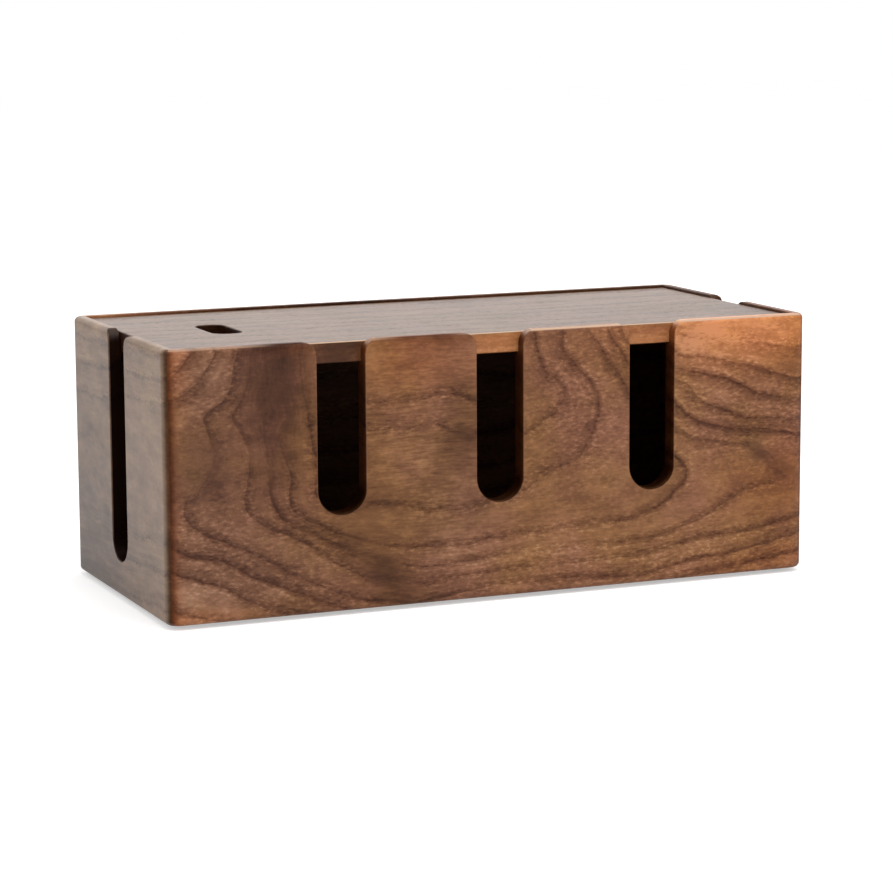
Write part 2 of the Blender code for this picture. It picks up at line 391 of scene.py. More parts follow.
leftFigure = {
    "lines": [
        (9.2, [(0, 24), (90, 18), (180, 14)]),
        (8, [(0, 44), (60, 40), (120, 33), (180, 29)]),
        (7.6, [(0, 76), (90, 68), (180, 60)]),
        (8, [(0, 118), (90, 114), (180, 108)]),
        (9, [(0, 134), (90, 130), (180, 124)]),
        (10, [(0, 152), (90, 150), (180, 146)]),
    ],
    # (90, 0): painted light along the top; (20, 160): painted shade towards the lower left; (177.6, 75):
    # painted shade down the rounded corner
    "tone": [(60, 40, 50, 12, -4, -0.2), (130, 110, 50, 10, -4, -0.2), (90, 0, 400, 36, 0, 0.3),
             (20, 160, 110, 56, 0, -1.0), (165, 60, 40, 120, 0, 0.4), (40, 108, 60, 34, 0, -0.2),
             (118, 142, 32, 26, 0, 0.3), (40, 62, 60, 12, -4, -0.3), (177.6, 75, 2.2, 400, 0, -0.9)],
    "flecks": [(90, 77, 400, 400, 0, -0.5)],
    # Along the top: painted shade, as less gloss
    "plain": [(90, 1.5, 400, 2.2, 0, 0.85)],
}
rightFigure = {
    "lines": [
        (10, [(0, 20), (90, 26), (180, 28)]),
        (9, [(0, 39), (90, 46), (180, 50)]),
        (8, [(0, 51), (90, 60), (180, 66)]),
        (7, [(0, 62), (90, 74), (180, 84)]),
        (6, [(0, 71), (60, 84), (110, 94)]),
        (5.4, [(0, 95), (40, 98)]),
        (6, [(0, 123), (60, 116), (110, 104)]),
        (7, [(0, 132), (90, 124), (180, 108)]),
        (8, [(0, 144), (90, 138), (180, 126)]),
        (9, [(60, 152), (180, 142)]),
    ],
    # Spots at (90, 0): painted shade along the rim
    "tone": [(120, 60, 60, 20, 8, -0.2), (90, 0, 400, 5, 0, -0.6)],
    "warm": [(10, 10, 50, 18, 4, 0.8)],
    "plain": [(90, 0, 400, 6, 0, 1.1)],
    "flecks": [(40, 90, 60, 40, 0, 0.5)],
}
backFigure = {
    "lines": [
        (3, [(120, 75), (200, 68), (280, 74)]),
        (4, [(60, 70), (140, 54), (230, 48), (320, 54), (390, 64)]),
        (5, [(0, 52), (100, 38), (230, 30), (330, 36), (400, 46)]),
        (6, [(0, 34), (120, 22), (240, 16), (400, 28)]),
        (7, [(0, 16), (150, 6), (260, 2), (400, 10)]),
        (4, [(60, 80), (140, 94), (230, 99), (320, 93), (390, 84)]),
        (5, [(0, 98), (100, 112), (230, 118), (330, 112), (400, 102)]),
        (6, [(0, 116), (120, 130), (240, 134), (400, 122)]),
        (7, [(0, 134), (150, 146), (260, 150), (400, 140)]),
    ],
    # Spots at (398, 1) and (398, 2): painted light on the rim by the left end panel; spots at (130, 0):
    # painted shade along the rim
    "tone": [(90, 40, 60, 30, 0, -0.35), (300, 120, 70, 24, 0, -0.3), (398, 1, 40, 5, 0, 1.2),
             (130, 0, 230, 5, 0, -0.5)],
    "warm": [(330, 30, 70, 30, 0, 0.4)],
    "plain": [(130, 0, 230, 6, 0, 1.0)],
    "litRim": [(398, 2, 58, 40, 0, 0.95)],
    "flecks": [(200, 75, 90, 20, 0, 0.4)],
}
lidFigure = {
    "lines": [
        (3, [(0, 20), (200, 24), (400, 18)]),
        (4, [(0, 44), (200, 52), (400, 46)]),
        (5, [(0, 66), (130, 74), (260, 80), (400, 70)]),
        (6, [(0, 84), (130, 92), (260, 98), (400, 92)]),
        (7, [(0, 104), (200, 112), (400, 110)]),
        (8, [(0, 126), (200, 132), (400, 128)]),
        (9, [(0, 150), (200, 154), (400, 150)]),
        (10, [(0, 172), (200, 176), (400, 172)]),
    ],
    "tone": [(394, 152, 46, 40, 0, -0.4)],
    "streaks": [(200, 90, 900, 900, 0, 0.7)],
    # (8, 90): painted shadow on the lid's left edge
    "edgeTone": [(200, 172, 2000, 20, 0, 1.6), (106, 172, 20, 20, 0, -2.3), (8, 90, 6, 60, 0, -2.0)],
    "edgeWarm": [(200, 172, 2000, 20, 0, 0.6), (106, 172, 24, 20, 0, -0.7)],
}


def alongLine(points, step):
    # Evenly placed points on a smooth curve through the given ones
    points = np.array(points, float)
    ends = np.vstack([2 * points[0] - points[1], points, 2 * points[-1] - points[-2]])
    found = []
    for index in range(1, len(ends) - 2):
        before, start, end, after = ends[index - 1:index + 3]
        count = max(1, math.ceil(np.linalg.norm(end - start) / step))
        for k in range(count):
            t = k / count
            found.append(0.5 * (2 * start + (end - before) * t
                                + (2 * before - 5 * start + 4 * end - after) * t ** 2
                                + (3 * start - before - 3 * end + after) * t ** 3))
    found.append(points[-1])
    return np.array(found)


def fitField(lines, step=8, slack=30.0):
    # A thin plate through the lines, each held at its own level
    points = [alongLine(line, step) for level, line in lines]
    levels = np.concatenate([np.full(len(part), float(level)) for (level, line), part in zip(lines, points)])
    points = np.vstack(points)
    count = len(points)
    reach = np.linalg.norm(points[:, None] - points[None], axis=2)
    plate = reach ** 2 * np.log(reach + 1e-9) + slack * np.eye(count)
    plane = np.column_stack([np.ones(count), points])
    system = np.block([[plate, plane], [plane.T, np.zeros((3, 3))]])
    solved = np.linalg.solve(system, np.concatenate([levels, np.zeros(3)]))
    return points, solved


def readField(field, places):
    # The ring at each place, and the distance from one ring to the next there, in millimetres
    points, solved = field
    rings, spreads = [], []
    for part in np.array_split(places, max(1, len(places) // 2000)):
        offset = part[:, None] - points[None]
        reach = np.linalg.norm(offset, axis=2) + 1e-9
        logs = np.log(reach)
        rings.append(reach ** 2 * logs @ solved[:-3] + solved[-3] + part @ solved[-2:])
        slope = ((2 * logs + 1)[:, :, None] * offset * solved[:-3][None, :, None]).sum(axis=1) + solved[-2:]
        spreads.append(1 / np.maximum(np.linalg.norm(slope, axis=1), 0.02))
    return np.concatenate(rings), np.concatenate(spreads)


def spotted(spots, places):
    # Soft oval patches, added up
    total = np.zeros(len(places))
    for across, down, reachAcross, reachDown, turn, amount in spots:
        angle = math.radians(turn)
        x, y = places[:, 0] - across, places[:, 1] - down
        u = (x * math.cos(angle) + y * math.sin(angle)) / reachAcross
        v = (y * math.cos(angle) - x * math.sin(angle)) / reachDown
        total += amount * np.exp(-(u * u + v * v))
    return total


def smoothSteps(values, low, high):
    # From 0 at low to 1 at high, without a corner at either end
    part = np.clip((values - low) / (high - low), 0, 1)
    return part * part * (3 - 2 * part)


def storeValues(piece, domain, values):
    for name, value in values.items():
        attribute = piece.data.attributes.new(name, "FLOAT", domain)
        attribute.data.foreach_set("value", np.asarray(value, np.float32))


figureDepth = {
    # how far the figure shifts across and down for each millimetre into a board
    "slant": (0.25, 0.45),
    # where the edge tones of the lid begin and reach full strength
    "edge": (0.2, 0.9),
    "widestSpread": 40,
}


def storeFigure(piece, figure, faceMap):
    # Store the wood's figure on a piece; faceMap turns its points into (across, down, deep) in millimetres
    corners = np.zeros(len(piece.data.vertices) * 3)
    piece.data.vertices.foreach_get("co", corners)
    across, down, deep = faceMap(corners.reshape(-1, 3) / mm)
    slant = figureDepth["slant"]
    places = np.column_stack([across + slant[0] * deep, down + slant[1] * deep])
    ring, spread = readField(fitField(figure["lines"]), places)
    values = {"ring": ring, "spread": np.clip(spread, 1, figureDepth["widestSpread"]) * mm, "deep": deep}
    for name in ("tone", "warm", "cool", "flecks", "ink", "streaks", "plain"):
        values[name] = spotted(figure.get(name, []), places)
    for name, edge in (("tone", "edgeTone"), ("warm", "edgeWarm")):
        if edge in figure:
            values[name] += spotted(figure[edge], places) * smoothSteps(deep, *figureDepth["edge"])
    storeValues(piece, "POINT", values)


def readFaces(piece):
    # The centre of each face in millimetres, and its normal
    found = []
    for name in ("center", "normal"):
        values = np.zeros(len(piece.data.polygons) * 3)
        piece.data.polygons.foreach_get(name, values)
        found.append(values.reshape(-1, 3))
    return found[0] / mm, found[1]


def endGrain(normals, grainAxis):
    # How squarely each face cuts across the fibres
    return np.clip((np.abs(normals[:, grainAxis]) - 0.35) / 0.6, 0, 1)


# How strongly each kind of face gets painted shade or light: painted shade for the inside, the inner wall
# of the rim and the bottom of a slot, a painted highlight for the rounded edges. The painted shade on a
# slot's walls lightens towards the top, as if lit from above, less so at the ends.
paintedShading = {
    "inside": 0.76,
    "rimWall": 0.7,
    "slotFoot": 0.9,
    "slotFloor": 0.25,
    "lighterWall": 0.35,
    "lightOnEnds": 0.15,
    "shoulderHighlight": 0.4,
    "slotEdgeHighlight": 0.1,
    "wallFade": (20, 8),
}


def markFaces(piece, figure, grainAxis, faceMap, slotCentres, sill):
    # Mark the faces of a board that look into the box and the walls of its slots for painted shade, then the
    # rounded edges for a painted highlight and the upright corners for painted shade as less gloss. Lengths
    # are in millimetres here.
    centres, normals = readFaces(piece)
    across, down, deep = faceMap(centres)
    facing, sideways, up = np.abs(normals[:, 1 - grainAxis]), np.abs(normals[:, grainAxis]), normals[:, 2]
    height, along = centres[:, 2], centres[:, grainAxis]
    top, wall, ease, radius = (v / mm for v in (outside["top"], outside["wall"], slots["ease"],
                                                slots["shoulderRadius"]))
    lip = wall - boards["lidLedge"] / mm
    # Painted shade for the faces inside the box and for the inner wall of the rim
    inside = (deep > wall - 0.4) & (facing > 0.7)
    rimWall = (deep > lip - 1.2) & (deep < lip + 0.2) & (facing > 0.4) & (height > lidLow.z / mm) & ~inside
    # Where light falls on the rim, its painted shade is lifted
    rimLight = np.clip(spotted(figure.get("litRim", []), np.column_stack([across, down])), 0, 1)

    # A slot with its shoulders, and the part of it below the shoulders
    beside = np.zeros(len(deep), bool)
    for centre in slotCentres:
        beside |= (height > sill / mm) & (np.abs(along - centre / mm) < slots["width"] / 2 / mm + radius)
    inSlot = beside & (height < top - radius)
    light = 1.0 if grainAxis == 0 else paintedShading["lightOnEnds"]
    # Painted shade on a slot's walls, lighter where they face up and towards the top, as if lit from above,
    # less so on the ends
    slotWallShade = (beside & (deep > ease) & (facing < 0.5)).astype(float)
    slotWallShade *= np.where(inSlot, 1.0, 1 - light * smoothSteps(up, 0.25, 0.85))
    fadeLow, fadeHigh = (top - reach for reach in paintedShading["wallFade"])
    slotWallShade *= 1 - paintedShading["lighterWall"] * light * smoothSteps(height, fadeLow, fadeHigh)
    # Painted shade at a slot's bottom, strongest on its rounded foot
    bottom = inSlot * smoothSteps(up, 0.0, 0.3)
    bottom *= np.where(deep <= ease, paintedShading["slotFoot"], paintedShading["slotFloor"])

    # The rounded edges, which get a painted highlight, and the upright corners, which get painted shade
    straight = ~beside | (sideways < 0.2)
    outer = deep < lip - 2
    arris = smoothSteps(up, 0.6, 0.78) * (1 - smoothSteps(up, 0.985, 0.999)) * (outer & straight & ~inSlot)
    shoulder = (beside & ~straight & ~inSlot & outer) * smoothSteps(up, 0.5, 0.98)
    slotEdge = inSlot & ~straight & (deep < ease) & (facing > 0.3) & (facing < 0.95) & (bottom < 0.1)
    # Painted shade at the upright corners, given as less gloss
    corner = (~beside & (np.abs(up) < 0.3) & (facing > 0.3)) * (1 - smoothSteps(facing, 0.78, 0.96))
    storeValues(piece, "FACE", {
        "endGrain": endGrain(normals, grainAxis),
        "hidden": np.maximum(inside * paintedShading["inside"] + rimWall * paintedShading["rimWall"] * (1 - rimLight), bottom),
        "wall": slotWallShade * ~inside,
        "arris": np.maximum.reduce([arris, paintedShading["shoulderHighlight"] * shoulder, paintedShading["slotEdgeHighlight"] * slotEdge]),
        "turning": corner,
    })


# Materials


def newMaterial(name):
    material = bpy.data.materials.new(name)
    material.use_nodes = True
    return material, material.node_tree, material.node_tree.nodes["Principled BSDF"]


def rangeNode(value, fromLow, fromHigh, toLow, toHigh):
    # A smooth step from one range to another
    return addNode(value.id_data, "ShaderNodeMapRange", {
        "Value": value, "From Min": fromLow, "From Max": fromHigh, "To Min": toLow, "To Max": toHigh,
    }, interpolation_type="SMOOTHSTEP").outputs[0]


def noiseNode(vector, scale, detail, roughness):
    return addNode(vector.id_data, "ShaderNodeTexNoise", {
        "Vector": vector, "Scale": scale, "Detail": detail, "Roughness": roughness}).outputs["Fac"]


def stretchNode(vector, scale):
    return addNode(vector.id_data, "ShaderNodeMapping", {"Vector": vector, "Scale": scale}).outputs[0]


def stored(tree, name):
    return addNode(tree, "ShaderNodeAttribute", attribute_name=name).outputs["Fac"]


def mixNode(factor, first, second, blend="MIX"):
    return addNode(factor.id_data, "ShaderNodeMix", {"Factor": factor, 6: first, 7: second}, data_type="RGBA",
                   blend_type=blend).outputs[2]


def addUp(start, parts):
    # A value with weighted parts added to it
    total = start
    for part, weight in parts:
        total = mathNode("MULTIPLY_ADD", part, weight, total)
    return total


def addBump(shader, height, strength):
    bump = addNode(shader.id_data, "ShaderNodeBump", {"Height": height, "Strength": strength,
                                                      "Distance": 0.2 * mm})
    fillInputs(shader, {"Normal": bump.outputs[0]})


walnutLook = {
    # colours from the darkest level to the palest
    "ramp": [(0.0, (0.040, 0.017, 0.010)), (0.3, (0.098, 0.041, 0.020)), (0.55, (0.178, 0.079, 0.036)),
             (0.8, (0.290, 0.142, 0.068)), (1.0, (0.420, 0.235, 0.125))],
    "orange": (1.55, 1.20, 0.85),
    "pinkish": (1.03, 0.92, 1.06),
    "golden": (1.06, 1.01, 0.84),
    "cool": (1.0, 1.13, 1.18),
    "lineTint": (0.46, 0.36, 0.31),
    "endGrainTint": (0.55, 0.38, 0.26),
    # the colour of the painted highlight along the rounded edges
    "arrisHighlightColour": (0.56, 0.36, 0.24),
    # the tint of the painted shade inside the box, on the rim's inner wall and in the slots
    "paintedShadeTint": (0.10, 0.07, 0.05),
    "lineWidth": 4.2 * mm,
    # how much faster a line fades after its ring than before it
    "fallOff": 1.4,
    "shadeWidth": 10 * mm,
    "fleckReach": 8 * mm,
    # the painted shade of a slot's wall changes to this one over so many millimetres
    "farWallShade": 0.8,
    "wallReach": 6.0,
    "roughness": 0.42,
    "dulling": 0.8,
    "bump": 0.15,
    # the scale of the pores and of the finest streaks along the fibres
    "poreStretch": (0.45, 1, 1),
    "streakStretch": (0.13, 1, 1),
    # scale, detail and roughness of each noise
    "noises": {
        "sway": (38, 3, 0.55), "waver": (90, 2, 0.55), "quiver": (450, 1, 0.55), "strength": (16, 2, 0.55),
        "grit": (480, 2, 0.55), "flecks": (620, 2, 0.6), "fibre": (1.0, 5, 0.6), "mottle": (120, 4, 0.65),
        "patches": (22, 3, 0.55), "streak": (700, 2, 0.6), "hue": (17, 3, 0.55),
    },
    # a plain place's level on the ramp, and what each part of the figure adds to it
    "level": 0.615,
    "adds": {"tone": 0.30, "fibre": 0.38, "mottle": 0.58, "patches": 0.38, "light": 0.22, "dark": -0.17,
             "streak": 0.7, "shade": -0.23},
}


def noise(key, vector):
    return noiseNode(vector, *walnutLook["noises"][key])


def centred(key, vector):
    return mathNode("SUBTRACT", noise(key, vector), 0.5)


def walnut(name, turn=0.0, seed=0.0, brightness=0.0, paintedSheenTint=(1, 1, 1), sheenTintDepth=2.0, lines=1.0, grain=1.0,
           slotShade=0.55, variety=1.0, patchy=1.0, arrisHighlightStrength=1.0, specular=0.17):
    # Oiled walnut whose lines and flecks follow the stored figure; its fibres run along X before the turn
    material, tree, shader = newMaterial(name)
    look, adds = walnutLook, walnutLook["adds"]
    place = addNode(tree, "ShaderNodeTexCoord").outputs["Object"]
    turned = addNode(tree, "ShaderNodeMapping", {"Vector": place, "Rotation": (0, 0, math.radians(turn)),
                                                 "Location": (seed, seed * 0.7, seed * 0.3)}).outputs[0]
    stretched = stretchNode(turned, look["poreStretch"])
    ring, spread, tone = (stored(tree, key) for key in ("ring", "spread", "tone"))
    calm = rangeNode(tone, -0.75, -0.15, 0.3, 1.0)

    # Rings with a slow wobble, and a quick one of the same size in millimetres everywhere
    quick = addUp(0.0, [(centred("waver", stretched), 5 * mm), (centred("quiver", turned), 1.1 * mm)])
    wobbled = addUp(ring, [(centred("sway", turned), 0.34), (mathNode("DIVIDE", quick, spread), 1.0)])

    # A soft dark line at each whole ring, and the darker wood that grew before it
    phase = mathNode("FRACT", wobbled)
    passed = times(phase, spread)
    ahead = times(mathNode("SUBTRACT", 1.0, phase), spread)
    near = mathNode("MINIMUM", times(passed, look["fallOff"]), ahead)
    line = rangeNode(near, 0.0, look["lineWidth"], 1.0, 0.0)
    shade = rangeNode(ahead, 0.0, look["shadeWidth"], 1.0, 0.0)
    along, _, up = addNode(tree, "ShaderNodeSeparateXYZ", {"Vector": turned}).outputs
    ringPlace = joinNode(along, times(wobbled, 0.05), times(up, 0.4))
    strength = rangeNode(noise("strength", ringPlace), 0.38, 0.60, 0.15, 1.0)
    inked = mathNode("ADD", stored(tree, "ink"), 1.0, clamp=True)
    steady = times(inked, calm)
    strength = times(times(strength, lines), steady)
    grit = rangeNode(noise("grit", stretched), 0.3, 0.6, 0.55, 1.0)
    lineMark = times(grit, times(strength, line))

    # Flecks and pores, thickest near the lines, and fibres that run with the rings
    beside = rangeNode(near, 0.0, look["fleckReach"], 1.0, 0.35)
    thick = times(calm, mathNode("ADD", beside, stored(tree, "flecks"), clamp=True))
    flecks = noise("flecks", stretched)
    light = times(thick, rangeNode(flecks, 0.52, 0.66, 0.0, 1.0))
    dark = times(thick, rangeNode(flecks, 0.46, 0.33, 0.0, 1.0))
    fibrePlace = joinNode(times(along, 22.0), times(wobbled, 6.0), times(up, 110.0))
    fibre = centred("fibre", fibrePlace)
    fine = stretchNode(turned, look["streakStretch"])
    streak = times(centred("streak", fine), mathNode("ADD", stored(tree, "streaks"), 0.15))

    # Add them all up to a place on the ramp, then tint
    level = addUp(look["level"] + brightness, [
        (tone, adds["tone"]), (fibre, adds["fibre"] * grain),
        (centred("mottle", stretched), adds["mottle"] * grain),
        (centred("patches", turned), adds["patches"] * patchy), (light, adds["light"] * grain),
        (dark, adds["dark"] * grain), (streak, adds["streak"] * grain),
        (times(shade, steady), adds["shade"] * lines)])
    ramp = addNode(tree, "ShaderNodeValToRGB", {"Fac": level})
    stops = ramp.color_ramp.elements
    for stop, (position, colour) in zip(stops, (look["ramp"][0], look["ramp"][-1])):
        stop.position, stop.color = position, (*colour, 1)
    for position, colour in look["ramp"][1:-1]:
        stops.new(position).color = (*colour, 1)
    hue = rangeNode(noise("hue", turned), 0.35, 0.65, 0.5 - 0.5 * variety, 0.5 + 0.5 * variety)
    deep = stored(tree, "deep")
    # The painted sheen tint covers the outer faces down to this depth
    outer = rangeNode(deep, 0.1 * sheenTintDepth, sheenTintDepth, 1.0, 0.0)
    # The painted shade on a slot's wall deepens from its outer rim inwards
    wallShade = rangeNode(deep, 0.0, look["wallReach"], slotShade, max(slotShade, look["farWallShade"]))
    wall = times(stored(tree, "wall"), wallShade)
    hidden = mathNode("ADD", stored(tree, "hidden"), wall, clamp=True)
    colour = ramp.outputs["Color"]
    # Tints: golden and pinkish hue, the painted sheen tint, lines, warm and cool spots, end grain and the
    # painted shade
    for mask, tint in ((hue, look["golden"]), (mathNode("SUBTRACT", 1.0, hue), look["pinkish"]),
                       (outer, paintedSheenTint), (lineMark, look["lineTint"]),
                       (stored(tree, "warm"), look["orange"]), (stored(tree, "cool"), look["cool"]),
                       (stored(tree, "endGrain"), look["endGrainTint"]), (hidden, look["paintedShadeTint"])):
        colour = mixNode(times(mask, 1.0, clamp=True), colour, (*tint, 1), blend="MULTIPLY")
    # A painted highlight along the rounded edges, held back where the rims get painted shade
    plain = times(stored(tree, "plain"), 1.0, clamp=True)
    arris = times(mathNode("MULTIPLY_ADD", plain, -arrisHighlightStrength, arrisHighlightStrength), stored(tree, "arris"))
    colour = mixNode(arris, colour, (*look["arrisHighlightColour"], 1))

    # Gloss of an oiled surface, broken by the pores and lowered as painted shade inside, along the dimmed
    # rims and at the upright corners
    rough = addUp(look["roughness"], [(dark, 0.10), (fibre, -0.10)])
    glossShade = mathNode("MAXIMUM", mathNode("MAXIMUM", hidden, stored(tree, "turning")), plain)
    gloss = mathNode("MULTIPLY_ADD", glossShade, -look["dulling"] * specular, specular)
    gloss = times(gloss, rangeNode(level, 0.15, 0.6, 0.72, 1.0))
    shader.inputs["Specular IOR Level"].default_value = specular
    fillInputs(shader, {"Base Color": colour, "Roughness": rough, "Specular IOR Level": gloss})
    addBump(shader, addUp(0.5, [(dark, -0.5), (lineMark, -0.3), (fibre, 0.3)]), look["bump"])
    return material


def plainMaterial(name, colour, roughness, spread, scale, stretch=(1, 1, 1), bump=0.1):
    # One colour with a soft variation and a fine bump
    material, tree, shader = newMaterial(name)
    place = addNode(tree, "ShaderNodeTexCoord").outputs["Object"]
    pattern = noiseNode(stretchNode(place, stretch), scale, 5, 0.6)
    dark, light = [(*[c * (1 + sign * spread) for c in colour], 1) for sign in (-1, 1)]
    mixed = mixNode(rangeNode(pattern, 0.3, 0.7, 0.0, 1.0), dark, light)
    fillInputs(shader, {"Base Color": mixed, "Roughness": roughness, "Specular IOR Level": 0.2})
    addBump(shader, pattern, bump)
    return material


def setMaterial(piece, material):
    piece.data.materials.clear()
    piece.data.materials.append(material)


# The boards: mitred at the corners, rounded outside, rebated at the top and bottom, cut for the cables

boards = {
    "cornerRadius": 8 * mm,
    "edgeRadius": 3 * mm,
    "cornerSteps": 18,
    "edgeSteps": 10,
    "mitreGap": 0.02 * mm,
    "lidLedge": 5 * mm,
    "baseLedge": 5 * mm,
    "rimEase": 0.8 * mm,
    "rimSteps": 5,
    "glueGap": 0.3 * mm,
    "splineThickness": 3 * mm,
    "splineWidth": 10 * mm,
    "splineFromInnerCorner": 3 * mm,
    "grid": 3 * mm,
}
slots = {
    "width": 29 * mm,
    "shoulderRadius": 8 * mm,
    "shoulderLift": 0.05 * mm,
    "frontCount": 3,
    "frontPitch": 97 * mm,
    "frontSill": 56 * mm,
    "endSill": 21 * mm,
    "ease": 0.8 * mm,
    "easeSteps": 5,
    "arcSteps": 32,
    "shoulderSteps": 16,
}


def makeOuterBlock():
    # The outside of the box, with round upright corners and round top and bottom edges
    bm = standing(rectangle(outside["length"], outside["depth"]), outside["bottom"], outside["top"])
    for upright, radius, steps in ((True, boards["cornerRadius"], boards["cornerSteps"]),
                                   (False, boards["edgeRadius"], boards["edgeSteps"])):
        edges = [edge for edge in bm.edges
                 if (abs(edge.verts[0].co.z - edge.verts[1].co.z) > outside["height"] / 2) == upright]
        roundOff(bm, edges, radius, steps)
    return makeTool("outerBlock", bm)


def makeLidRecess():
    # The step that the lid drops into, with its upper arris eased
    lip = outside["wall"] - boards["lidLedge"]
    length, depth = outside["length"] - 2 * lip, outside["depth"] - 2 * lip
    ease, top = boards["rimEase"], outside["top"]
    profile = [(0.0, lidLow.z - boards["glueGap"])]
    profile += arc((ease, top - ease), ease, 180, 90, boards["rimSteps"]) + [(ease, top + overshoot)]
    outlines = [[(x, y, height) for x, y in rectangle(length + 2 * flare, depth + 2 * flare)]
                for flare, height in profile]
    return makeTool("lidRecess", loft(outlines))


def makeBaseRecess():
    lip = outside["wall"] - boards["baseLedge"]
    outline = rectangle(outside["length"] - 2 * lip, outside["depth"] - 2 * lip)
    return makeTool("baseRecess", standing(outline, outside["bottom"] - overshoot,
                                           baseTop + boards["glueGap"]))


def slotOutline(sill, flare):
    # A slot as (across, height): a round bottom, straight sides, and shoulders whose flare fades upwards
    half, radius = slots["width"] / 2, slots["shoulderRadius"]
    shoulderX = half + radius
    shoulderZ = outside["height"] - radius + slots["shoulderLift"]
    bottom = arc((0, sill + half), half + flare, 180, 360, slots["arcSteps"])
    right = []
    for step in range(slots["shoulderSteps"] + 1):
        angle = math.radians(180 - 90 * step / slots["shoulderSteps"])
        reach = radius - flare * abs(math.cos(angle))
        right.append((shoulderX + reach * math.cos(angle), shoulderZ + reach * math.sin(angle)))
    top = outside["height"] + overshoot
    return bottom + right + [(shoulderX, top), (-shoulderX, top)] + [(-x, z) for x, z in reversed(right)]


def makeSlotCutter(name, sill):
    # One slot cutter through a wall, with both rims eased
    layers = easedLayers(0.0, outside["wall"], slots["ease"], slots["easeSteps"])
    return makeTool(name, loft([[(x, deep, z) for x, z in slotOutline(sill, flare)]
                                for deep, flare in layers]))


def makeSplineGroove(name, xSign, ySign):
    # The groove across one mitre, in which a spline sits
    gap = boards["glueGap"]
    low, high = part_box(name)
    outline = rectangle(boards["splineWidth"] + 2 * gap, boards["splineThickness"] + 2 * gap)
    groove = makeTool(name + "_groove", standing(outline, low.z - gap, high.z + gap))
    inward = (boards["splineFromInnerCorner"] + boards["splineThickness"] / 2) / math.sqrt(2)
    x, y = (outside[size] / 2 - outside["wall"] + inward for size in ("length", "depth"))
    groove.location = (xSign * x, ySign * y, 0)
    groove.rotation_euler = (0, 0, math.radians(-45 * xSign * ySign))
    return groove


def makeBoard(name, length, centre, turn, tools, cutter, count, material):
    # A mitred board in its own place, cut by the shared tools and by its own row of slots
    wall = outside["wall"]
    half = length / 2 - boards["mitreGap"] / math.sqrt(2)
    outline = [(-half - overshoot, -overshoot), (half + overshoot, -overshoot), (half - wall, wall),
               (-half + wall, wall)]
    board = newObject(name, standing(outline, -overshoot, outside["height"] + overshoot))
    board.location = (centre[0], centre[1], outside["bottom"])
    board.rotation_euler = (0, 0, math.radians(turn))
    combine(board, tools[0], "INTERSECT")
    for tool in tools[1:]:
        combine(board, tool, "DIFFERENCE")
    if count:
        addTree(board, slotRow, {"Cutter": cutter, "Count": count, "Pitch": slots["frontPitch"],
                                 "Material": material})
    settle(board)
    setMaterial(board, material)
    return board


halfLength, halfDepth, topHeight = (place / mm for place in (outside["length"] / 2, outside["depth"] / 2,
                                                             outside["top"]))
# From a place in millimetres to (across, down, deep) on each face
faceMaps = {
    "front": lambda p: (p[:, 0] + halfLength, topHeight - p[:, 2], p[:, 1] + halfDepth),
    "back": lambda p: (halfLength - p[:, 0], topHeight - p[:, 2], halfDepth - p[:, 1]),
    "left": lambda p: (halfDepth - p[:, 1], topHeight - p[:, 2], p[:, 0] + halfLength),
    "right": lambda p: (p[:, 1] + halfDepth, topHeight - p[:, 2], halfLength - p[:, 0]),
    "lid": lambda p: (p[:, 0] + halfLength, halfDepth - p[:, 1], lidHigh.z / mm - p[:, 2]),
}

slotRow = slotRowTree()
outerBlock, lidRecess, baseRecess = makeOuterBlock(), makeLidRecess(), makeBaseRecess()
grooves = {(depthName, sideName): makeSplineGroove(f"{depthName}_{sideName}_spline", xSign, ySign)
           for depthName, ySign in (("front", -1), ("back", 1))
           for sideName, xSign in (("left", -1), ("right", 1))}
frontCutter = makeSlotCutter("frontSlotCutter", slots["frontSill"])
endCutter = makeSlotCutter("endSlotCutter", slots["endSill"])

# Name, CAD node, side, figure, turn in degrees, number of slots, cutter, finish
boardPlans = [
    ("frontBoard", "front_panel", "front", frontFigure, 0, slots["frontCount"], frontCutter, {}),
    ("backBoard", "back_panel", "back", backFigure, 180, 0, None,
     {"seed": 3.1, "brightness": -0.04, "lines": 0.9, "arrisHighlightStrength": 0.3}),
    # The left end's greyer, greener tint is painted sheen
    ("leftBoard", "left_end_panel", "left", leftFigure, -90, 1, endCutter,
     {"seed": 5.7, "brightness": -0.12, "paintedSheenTint": (0.88, 1.15, 1.24), "sheenTintDepth": 16, "lines": 0.5,
      "slotShade": 1.0, "variety": 0.4, "arrisHighlightStrength": 0.0, "specular": 0.40}),
    ("rightBoard", "right_end_panel", "right", rightFigure, 90, 1, endCutter,
     {"seed": 9.3, "lines": 0.9, "arrisHighlightStrength": 0.2}),
]
centres = {0: (0, -outside["depth"] / 2), 180: (0, outside["depth"] / 2),
           -90: (-outside["length"] / 2, 0), 90: (outside["length"] / 2, 0)}
for name, node, side, figure, turn, count, cutter, finish in boardPlans:
    isEnd = abs(turn) == 90
    length, sill = (outside["depth"], slots["endSill"]) if isEnd else (outside["length"], slots["frontSill"])
    material = walnut(f"walnut_{side}", turn=90 if isEnd else 0, **finish)
    tools = [outerBlock, lidRecess, baseRecess] + [g for key, g in grooves.items() if side in key]
    board = makeBoard(name, length, centres[turn], turn, tools, cutter, count, material)
    grid, grainAxis = boards["grid"], 1 if isEnd else 0
    sliceAlong(board, (0, grid, grid) if isEnd else (grid, 0, grid))
    smoothShade(board)
    storeFigure(board, figure, faceMaps[side])
    rowCentres = [(k - (count - 1) / 2) * slots["frontPitch"] for k in range(count)]
    markFaces(board, figure, grainAxis, faceMaps[side], rowCentres, sill)
    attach(board, "box")
    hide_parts(node)
    print(name, len(board.data.polygons), "faces")


# The lid: a flat board with eased edges and a finger hole

